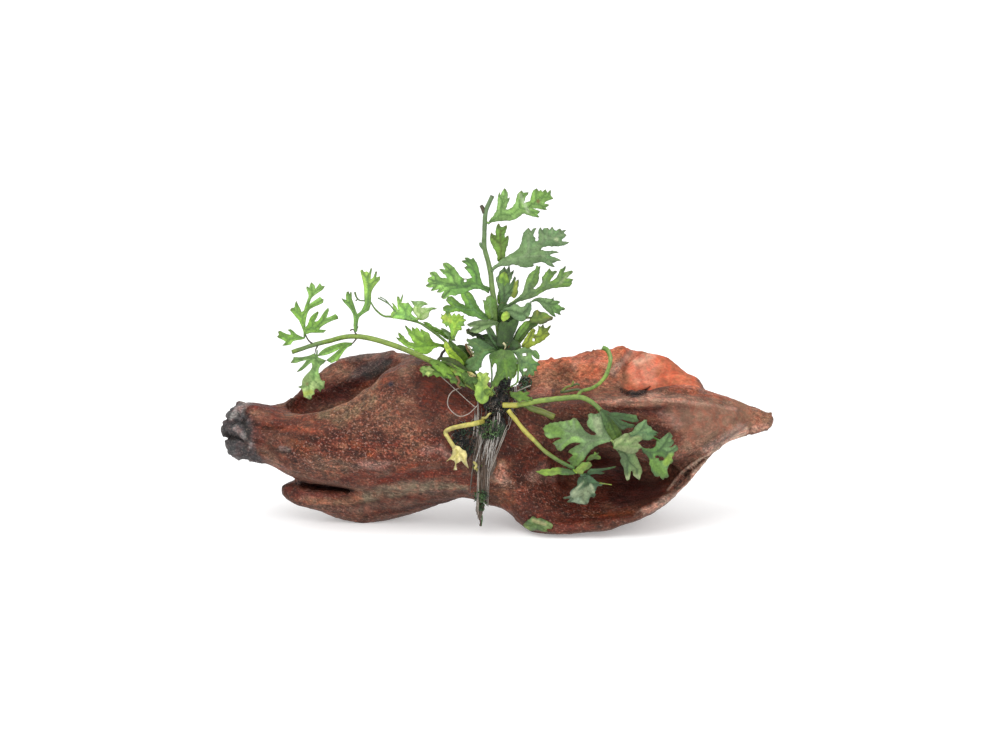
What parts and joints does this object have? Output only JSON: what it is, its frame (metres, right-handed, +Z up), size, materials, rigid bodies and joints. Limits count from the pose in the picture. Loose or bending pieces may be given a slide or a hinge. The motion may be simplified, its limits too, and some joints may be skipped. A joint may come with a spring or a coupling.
{
  "type": "african water fern on driftwood",
  "caption": "Aquarium fern with toothed, lobed green leaflets on upright and arching stems, tied by clear line to a long piece of dark driftwood with a deep hollow and a charred end.",
  "frame": {"origin": "on the surface that the wood rests on, under the middle of the whole object's box", "axes": "+Z up; +X to the wood's pointed tip; -Y the front, the side that the picture shows"},
  "size_m": [0.1504, 0.0442, 0.0951],
  "materials": {
    "driftwood": "satin",
    "torn_wood": "matte",
    "leaf": "satin",
    "young_leaf": "satin",
    "stem": "satin",
    "withered": "matte",
    "roots": "matte",
    "line": "gloss"
  },
  "bodies": {
    "root": {"arching_frond_stem": "stem", "arching_hanging_leaflet": "young_leaf", "arching_side_leaflet": "young_leaf", "arching_top_leaflet": "young_leaf", "arching_under_leaflet": "leaf", "blue_left_leaflet": "leaf", "bright_left_leaflet": "young_leaf", "bright_middle_leaflet": "young_leaf", "bud_leaflet": "young_leaf", "crown": "roots", "crumpled_leaflet": "leaf", "curled_shoot": "young_leaf", "cut_stipe": "young_leaf", "dark_middle_leaflet": "leaf", "dark_right_leaflet": "leaf", "dark_upper_leaflet": "leaf", "dead_frond_stem": "withered", "dead_leaf": "withered", "driftwood_back_fin": "driftwood", "driftwood_body": "driftwood", "driftwood_lower_prong": "driftwood", "driftwood_scoop": "driftwood", "driftwood_snout": "driftwood", "driftwood_torn_stub": "torn_wood", "fallen_leaflet": "leaf", "far_low_leaflet": "leaf", "far_right_leaflet": "leaf", "first_left_leaflet": "leaf", "grey_left_leaflet": "leaf", "grey_low_right_leaflet": "leaf", "grey_right_leaflet": "leaf", "hanging_right_leaflet": "leaf", "large_right_leaflet": "leaf", "low_frond_stem": "stem", "low_left_leaflet": "leaf", "main_frond_stem": "stem", "middle_leaflet": "leaf", "nylon_line": "line", "olive_forked_leaflet": "young_leaf", "olive_strip_leaflet": "young_leaf", "outer_right_leaflet": "leaf", "pale_leaflet": "young_leaf", "pointing_left_leaflet": "young_leaf", "right_frond_stem": "stem", "rolled_leaflet": "leaf", "root_bundle": "roots", "second_left_leaflet": "leaf", "second_right_leaflet": "leaf", "small_left_leaflet": "leaf", "thin_frond_stem": "stem", "thin_pale_leaflet": "leaf", "thin_tuft_leaflet": "young_leaf", "third_right_leaflet": "leaf", "toothed_leaflet": "young_leaf", "top_leaflet": "leaf", "upright_leaflet": "leaf", "yellow_left_leaflet": "young_leaf", "yellow_lobed_leaflet": "young_leaf", "yellow_low_leaflet": "young_leaf"}
  },
  "joints": []
}
